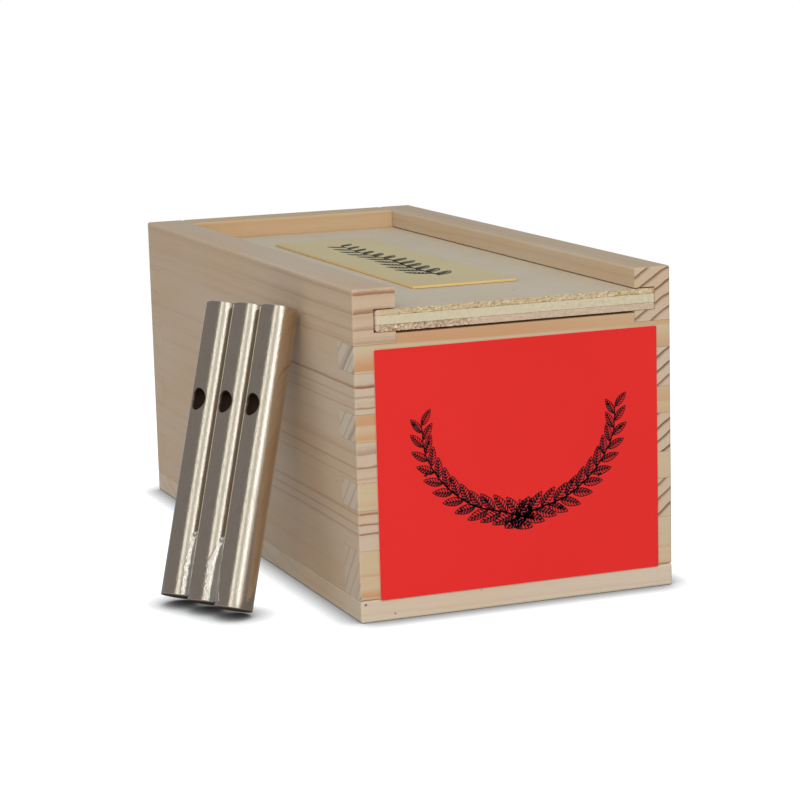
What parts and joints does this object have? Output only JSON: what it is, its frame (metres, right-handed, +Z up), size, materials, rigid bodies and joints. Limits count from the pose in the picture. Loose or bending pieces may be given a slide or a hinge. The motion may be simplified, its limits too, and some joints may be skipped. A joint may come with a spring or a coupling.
{
  "type": "boxed bird whistle",
  "caption": "Metal bird whistle of tubes soldered side by side, leaning on its finger-jointed pine box with a sliding plywood lid and card labels.",
  "frame": {"origin": "centre of the box's underside", "axes": "+Z up, -Y towards the labelled end that the lid slides out of, +X to the right seen from that end; the whistle leans on the -X wall"},
  "size_m": [0.1008, 0.1444, 0.0668],
  "materials": {
    "pine_side": "bare sanded pine, long grain",
    "pine_end": "bare sanded pine, long grain with end-grain tongues",
    "pine_base": "bare sanded pine board",
    "face_veneer": "sanded plywood face, rough sawn edge",
    "core_veneer": "pale plywood core, sawn edge",
    "under_veneer": "plywood back veneer, torn sawn edge",
    "red_card": "smooth red printed card",
    "black_ink": "flat black ink",
    "yellow_card": "thin buff-yellow card with a bright cut edge",
    "nickel_tube": "bright drawn nickel-plated tube",
    "solder": "smeared bright solder",
    "plug_wood": "dark waxed plug",
    "stopper_metal": "dull solder-filled stopper"
  },
  "bodies": {
    "box": {"base_board": "pine_base", "left_wall": "pine_side", "right_wall": "pine_side", "front_wall": "pine_end", "rear_wall": "pine_end", "front_label": "red_card"},
    "lid": {"lid_under_ply": "under_veneer", "lid_core_ply": "core_veneer", "lid_face_ply": "face_veneer", "lid_label": "yellow_card"},
    "whistle": {"tube_1": "nickel_tube", "tube_2": "nickel_tube", "tube_3": "nickel_tube", "windway_plug_1": "plug_wood", "windway_plug_2": "plug_wood", "windway_plug_3": "plug_wood", "end_stopper_1": "stopper_metal", "end_stopper_2": "stopper_metal", "end_stopper_3": "stopper_metal", "solder_front_1": "solder", "solder_front_2": "solder", "solder_rear_1": "solder", "solder_rear_2": "solder"}
  },
  "joints": [
    {"name": "lid_slide", "type": "slide", "parent": "box", "child": "lid", "axis": [0, -1, 0], "range_m": [0, 0.134]},
    {"name": "whistle_away", "type": "slide", "parent": "box", "child": "whistle", "axis": [-1, 0, 0], "range_m": [0, 0.06]}
  ]
}
